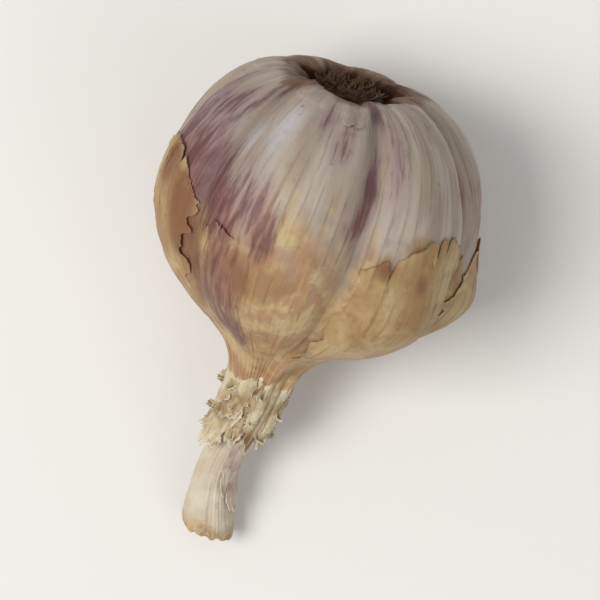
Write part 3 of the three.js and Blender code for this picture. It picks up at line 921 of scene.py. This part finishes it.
def skin_finish():
    """Dry, papery skin with a soft gloss: its colour zones, with a painted shadow and highlight, streaks,
    veins and dirt.
    """
    f = Finish("papery_skin", Specular_IOR_Level=SKIN_SHINE)
    along = f.attribute("lengthwise", vector=True)
    place = f.position()
    broad = f.noise(along, 0.8, 3, 0.55)
    fine = f.noise(along, 3.0, 5, 0.6)
    vein = vein_lines(f, along, place)
    cloud = f.noise(place, 240, 4, 0.6)
    patch = f.noise(place, 75, 4, 0.62, 0.4)
    fibres = f.math("MULTIPLY", f.math("ADD", patch, fine), 0.5)
    # pale skin, and a blotched golden tan over it towards the neck
    golden = f.mix(f.ramp(patch, 0.41, 0.59), "94734e", "bca377")
    golden = f.tint(golden, f.ramp(fine, 0.45, 0.7), 0.5, "94693f")
    golden = f.tint(golden, f.ramp(f.noise(place, 170, 3, 0.6), 0.5, 0.62), 0.8, "a3785a")
    golden = f.tint(golden, f.ramp(f.noise(along, 1.9, 3, 0.6), 0.52, 0.7), 0.5, "bfa069")
    base = f.mix(f.ramp(broad, 0.35, 0.65), "958778", "ada193")
    base = f.tint(base, f.ramp(patch, 0.5, 0.7), 0.45, "a79774")
    base = f.tint(base, f.ramp(f.noise(along, 1.4, 3, 0.6), 0.5, 0.72), 0.3, "94787c")
    tan = f.streaked(f.attribute("tan"), fibres, 0.2, 0.85, 1.5)
    base = f.mix(tan, base, golden)
    # pale skin, partly a painted highlight on the upper crest
    base = f.mix(f.streaked(f.attribute("pale"), fine, 0.3, 0.95, 0.9), base, "b1adae")
    # rust, and painted shadow under the flap at the roots
    base = f.mix(f.streaked(f.attribute("rust_and_shadow"), fibres, 0.2, 0.85, 1.3), base, "7b5434")
    # maroon streaks in a lilac halo, both browner where the skin is tan; they also paint shade under the flap
    # at the roots
    lower = f.attribute("lower")
    halo = f.mix(lower, "84686f", "885352")
    halo = f.tint(halo, tan, 0.8, "8f6b53")
    deep = f.mix(lower, "56363d", "5b2a27")
    deep = f.tint(deep, tan, 0.8, "5f3b2e")
    zone = f.attribute("maroon")
    near = f.ramp(zone, 0.02, 0.3)
    lilac = f.math("MULTIPLY", near, f.streaked(zone, broad, 0.15, 0.85, 1.1))
    base = f.mix(f.math("MULTIPLY", lilac, 0.8), base, halo)
    maroon = f.math("MULTIPLY", near, f.streaked(zone, fine, 0.32, 0.95, 1.9))
    base = f.mix(f.math("MULTIPLY", maroon, 0.9), base, deep)
    # veins, furrows, smudges and small spots
    base = f.tint(base, vein, 0.3, "6e5140")
    base = f.tint(base, f.attribute("furrow"), 0.5, "51383a")
    base = f.tint(base, f.ramp(cloud, 0.55, 0.75), 0.2, "6e5138")
    base = f.tint(base, f.ramp(f.noise(place, 520, 2, 0.5), 0.7, 0.78), 0.45, "60452f")
    # the stained rim and the dirty pit, which are dull
    stain = f.streaked(f.attribute("stain"), fine, 0.3, 0.95, 0.7)
    base = f.tint(base, stain, 0.8, "6f4f38")
    soil = f.streaked(f.attribute("soil"), cloud, 0.2, 0.95, 1.0)
    base = f.mix(soil, base, "3b2518")
    dull = f.math("MAXIMUM", soil, f.math("MULTIPLY", stain, 0.6))
    shine = f.between(dull, SKIN_SHINE, 0.03)
    rough = f.math("MAXIMUM", f.between(f.noise(place, 300, 3), 0.36, 0.62), dull)
    bumps = f.bump(vein, 0.07)
    bumps = f.bump(patch, 0.5, 0.5, bumps)
    bumps = f.bump(fine, 0.06, 0.4, bumps)
    bumps = f.bump(cloud, 0.12, 0.4, bumps)
    bumps = f.bump(f.noise(place, 2600, 3), 0.03, 0.5, bumps)
    return f.give(Base_Color=base, Roughness=rough, Specular_IOR_Level=shine, Normal=bumps)


def old_skin_finish():
    """The older skin: tan, veined and spotted, with rusty patches and browned edges."""
    f = Finish("torn_old_skin", Specular_IOR_Level=0.38, Sheen_Weight=0.04)
    along = f.attribute("lengthwise", vector=True)
    place = f.position()
    patch = f.noise(place, 85, 4, 0.62, 0.4)
    fine = f.noise(along, 3.6, 5, 0.6)
    vein = vein_lines(f, along, place)
    cloud = f.noise(place, 320, 4, 0.65)
    base = f.mix(f.ramp(patch, 0.35, 0.65), "977549", "b29a6e")
    base = f.tint(base, f.ramp(fine, 0.45, 0.75), 0.35, "7f6040")
    base = f.mix(f.streaked(f.attribute("rust_and_shadow"), patch, 0.3, 0.8, 0.7), base, "7a5132")
    base = f.tint(base, vein, 0.45, "6a4c2e")
    base = f.tint(base, f.ramp(cloud, 0.52, 0.72), 0.4, "6c4c2f")
    base = f.tint(base, f.streaked(f.attribute("edge"), cloud, 0.3, 0.9, 0.6), 0.8, "65462a")
    rough = f.between(f.noise(place, 300, 3), 0.4, 0.65)
    bumps = f.bump(vein, 0.09)
    bumps = f.bump(patch, 0.5, 0.6, bumps)
    bumps = f.bump(fine, 0.08, 0.5, bumps)
    bumps = f.bump(cloud, 0.25, 0.5, bumps)
    return f.give(Base_Color=base, Roughness=rough, Normal=bumps)


def leaf_finish(name, low, high, streak):
    """Dry leaf, from a low to a high colour: fibrous, with brown painted shade in its hollows and pale at its
    torn edge.
    """
    f = Finish(name, Specular_IOR_Level=0.3)
    along = f.attribute("lengthwise", vector=True)
    place = f.position()
    fine = f.noise(along, 6, 5, 0.65)
    cloud = f.noise(place, 300, 4, 0.6)
    base = f.mix(f.ramp(cloud, 0.35, 0.65), low, high)
    base = f.tint(base, f.ramp(fine, 0.5, 0.75), 0.4, streak)
    # browner with age, and partly painted shade close to the neck
    base = f.tint(base, f.attribute("browning_and_shade"), 0.7, "9c7d55")
    # painted shade, in brown, in the hollows of the folds
    base = f.tint(base, f.attribute("hollow_shade"), 0.75, "75572f")
    base = f.tint(base, f.streaked(f.attribute("edge"), cloud, 0.4, 0.9, 0.9), 0.6, "dbd2bd")
    base = f.tint(base, f.ramp(f.noise(place, 800, 3), 0.62, 0.75), 0.5, "6d5030")
    rough = f.between(cloud, 0.6, 0.9)
    bumps = f.bump(fine, 0.12, 0.6)
    bumps = f.bump(cloud, 0.25, 0.5, bumps)
    return f.give(Base_Color=base, Roughness=rough, Normal=bumps)


def stalk_finish():
    """The stub: creamy and fibrous, and a corky brown at its cut end."""
    f = Finish("cut_stalk", Specular_IOR_Level=0.35)
    along = f.attribute("lengthwise", vector=True)
    place = f.position()
    fine = f.noise(f.stretched(along, 1, 1, 0.6), 7, 5, 0.65)
    cloud = f.noise(place, 220, 4, 0.6)
    base = f.mix(f.ramp(cloud, 0.3, 0.7), "bfb198", "cfc6b3")
    base = f.tint(base, f.ramp(fine, 0.5, 0.75), 0.35, "a18a5f")
    base = f.tint(base, f.ramp(f.noise(place, 600, 3), 0.62, 0.75), 0.35, "86693f")
    cut = f.mix(f.ramp(f.noise(place, 900, 4, 0.65), 0.42, 0.62), "8f6d43", "bb9a66")
    base = f.mix(f.math("MULTIPLY", f.streaked(f.attribute("end"), cloud, 0.2, 1.1, 1.3), 0.8), base, cut)
    rough = f.between(cloud, 0.55, 0.8)
    bumps = f.bump(fine, 0.12, 0.7)
    bumps = f.bump(cloud, 0.2, 0.4, bumps)
    return f.give(Base_Color=base, Roughness=rough, Normal=bumps)


def root_finish():
    """The dark cork of the root plate, and roots that are lighter at their tips."""
    f = Finish("dried_root", Specular_IOR_Level=0.2)
    place = f.position()
    cloud = f.noise(place, 350, 5, 0.65)
    grain = f.noise(place, 1500, 4, 0.6)
    base = f.mix(f.ramp(cloud, 0.35, 0.65), "2a1c14", "4c3728")
    base = f.tint(base, f.ramp(grain, 0.5, 0.75), 0.5, "75593f")
    base = f.tint(base, f.attribute("tip"), 0.45, "86694c")
    rough = f.between(grain, 0.8, 1.0)
    return f.give(Base_Color=base, Roughness=rough, Normal=f.bump(grain, 0.3))


# ---- Surroundings ----
BACKDROP = colour("e3e1dd")
AIM_HEIGHT = 0.02  # metres above the floor that the camera and the lights look at


def seen_by_camera(tree, shown, hidden):
    """One shader for what the camera sees, straight or mirrored, and another for the light on things."""
    rays = tree.nodes.new("ShaderNodeLightPath")
    mix = tree.nodes.new("ShaderNodeMixShader")
    seen = rays.outputs["Is Camera Ray"]
    for kind in ("Is Glossy Ray", "Is Transmission Ray"):
        either = tree.nodes.new("ShaderNodeMath")
        either.operation = "MAXIMUM"
        tree.links.new(seen, either.inputs[0])
        tree.links.new(rays.outputs[kind], either.inputs[1])
        seen = either.outputs[0]
    tree.links.new(seen, mix.inputs[0])
    tree.links.new(hidden, mix.inputs[1])
    tree.links.new(shown, mix.inputs[2])
    return mix.outputs[0]


def make_floor():
    """A pale floor that fades into the backdrop far from the bulb."""
    bpy.ops.object.select_all(action="DESELECT")
    bpy.ops.mesh.primitive_plane_add(size=30)
    floor = bpy.context.object
    floor.name = "floor"
    f = Finish("pale_floor", Roughness=0.9, Specular_IOR_Level=0.1)
    f.shader.inputs["Base Color"].default_value = colour("e6e4e0")
    away = f.add("VectorMath", {0: f.position()}, "Value", operation="LENGTH")
    glow = f.add("Emission", {"Color": BACKDROP, "Strength": 1.0})
    lit = f.shader.outputs[0]
    fading = f.add("MixShader", {0: f.ramp(away, 0.25, 1.3), 1: lit, 2: glow})
    output = f.tree.nodes["Material Output"]
    f.tree.links.new(seen_by_camera(f.tree, fading, lit), output.inputs[0])
    floor.data.materials.append(f.material)


def add_light(name, place, size, power, tint):
    """A square area light that faces the bulb."""
    data = bpy.data.lights.new(name, "AREA")
    data.size = size
    data.energy = power
    data.color = tint
    light = bpy.data.objects.new(name, data)
    light.location = place
    towards = Vector((0, 0, AIM_HEIGHT)) - Vector(place)
    light.rotation_euler = towards.to_track_quat("-Z", "Y").to_euler()
    bpy.context.scene.collection.objects.link(light)


def make_camera():
    """Looks down on the bulb, with the neck pointing to the lower left of the picture."""
    low, high = cad_box
    middle = (low + high) / 2
    target = Vector((middle.x - 0.0002, middle.y + 0.002, AIM_HEIGHT))
    data = bpy.data.cameras.new("camera")
    data.lens = 144
    camera = bpy.data.objects.new("camera", data)
    elevation, turn, distance = math.radians(88), math.radians(16.5), 0.45
    level = math.cos(elevation)
    back = Vector((math.sin(turn) * level, -math.cos(turn) * level, math.sin(elevation)))
    camera.location = target + back * distance
    camera.rotation_euler = (-back).to_track_quat("-Z", "Y").to_euler()
    bpy.context.scene.collection.objects.link(camera)
    bpy.context.scene.camera = camera


def light_scene():
    """A soft, even sky, with a key light and a weaker fill."""
    world = bpy.data.worlds.new("studio")
    world.use_nodes = True
    tree = world.node_tree
    soft = tree.nodes["Background"]
    soft.inputs["Color"].default_value = (1, 1, 1, 1)
    soft.inputs["Strength"].default_value = 0.42
    pale = tree.nodes.new("ShaderNodeBackground")
    pale.inputs["Color"].default_value = BACKDROP
    light = seen_by_camera(tree, pale.outputs[0], soft.outputs[0])
    tree.links.new(light, tree.nodes["World Output"].inputs[0])
    bpy.context.scene.world = world
    bpy.context.scene.view_settings.view_transform = "Standard"
    add_light("key", (-0.75, -0.3, 1.2), 0.7, 15.6, (1, 0.99, 0.975))
    add_light("fill", (1.0, -0.6, 1.0), 1.2, 4, (0.95, 0.97, 1))


light_scene()
make_floor()
make_camera()
skin = skin_finish()
make_skin(skin)
old_skin, root = old_skin_finish(), root_finish()
leaf = leaf_finish("dry_neck_leaf", "baa986", "d2c8ae", "977b50")
for seed, (node, *shape) in enumerate(OLD_SKINS):
    make_peel(f"{node}_torn", *shape, 100 + 20 * seed, "old_skin", old_skin, node)
for seed, (name, *shape) in enumerate(FLAKES):
    make_peel(name, *shape, 200 + 20 * seed, "old_skin", old_skin)
for seed, (name, *shape) in enumerate(SKIN_EDGES):
    make_peel(name, *shape, 700 + 20 * seed, "skin", skin, free_sides=False)
make_neck(leaf)
make_stalk(stalk_finish())
make_sheath(leaf_finish("dry_sheath", "ae9688", "cebdac", "8f6c5f"))
make_root_plate(root)
make_roots(root)
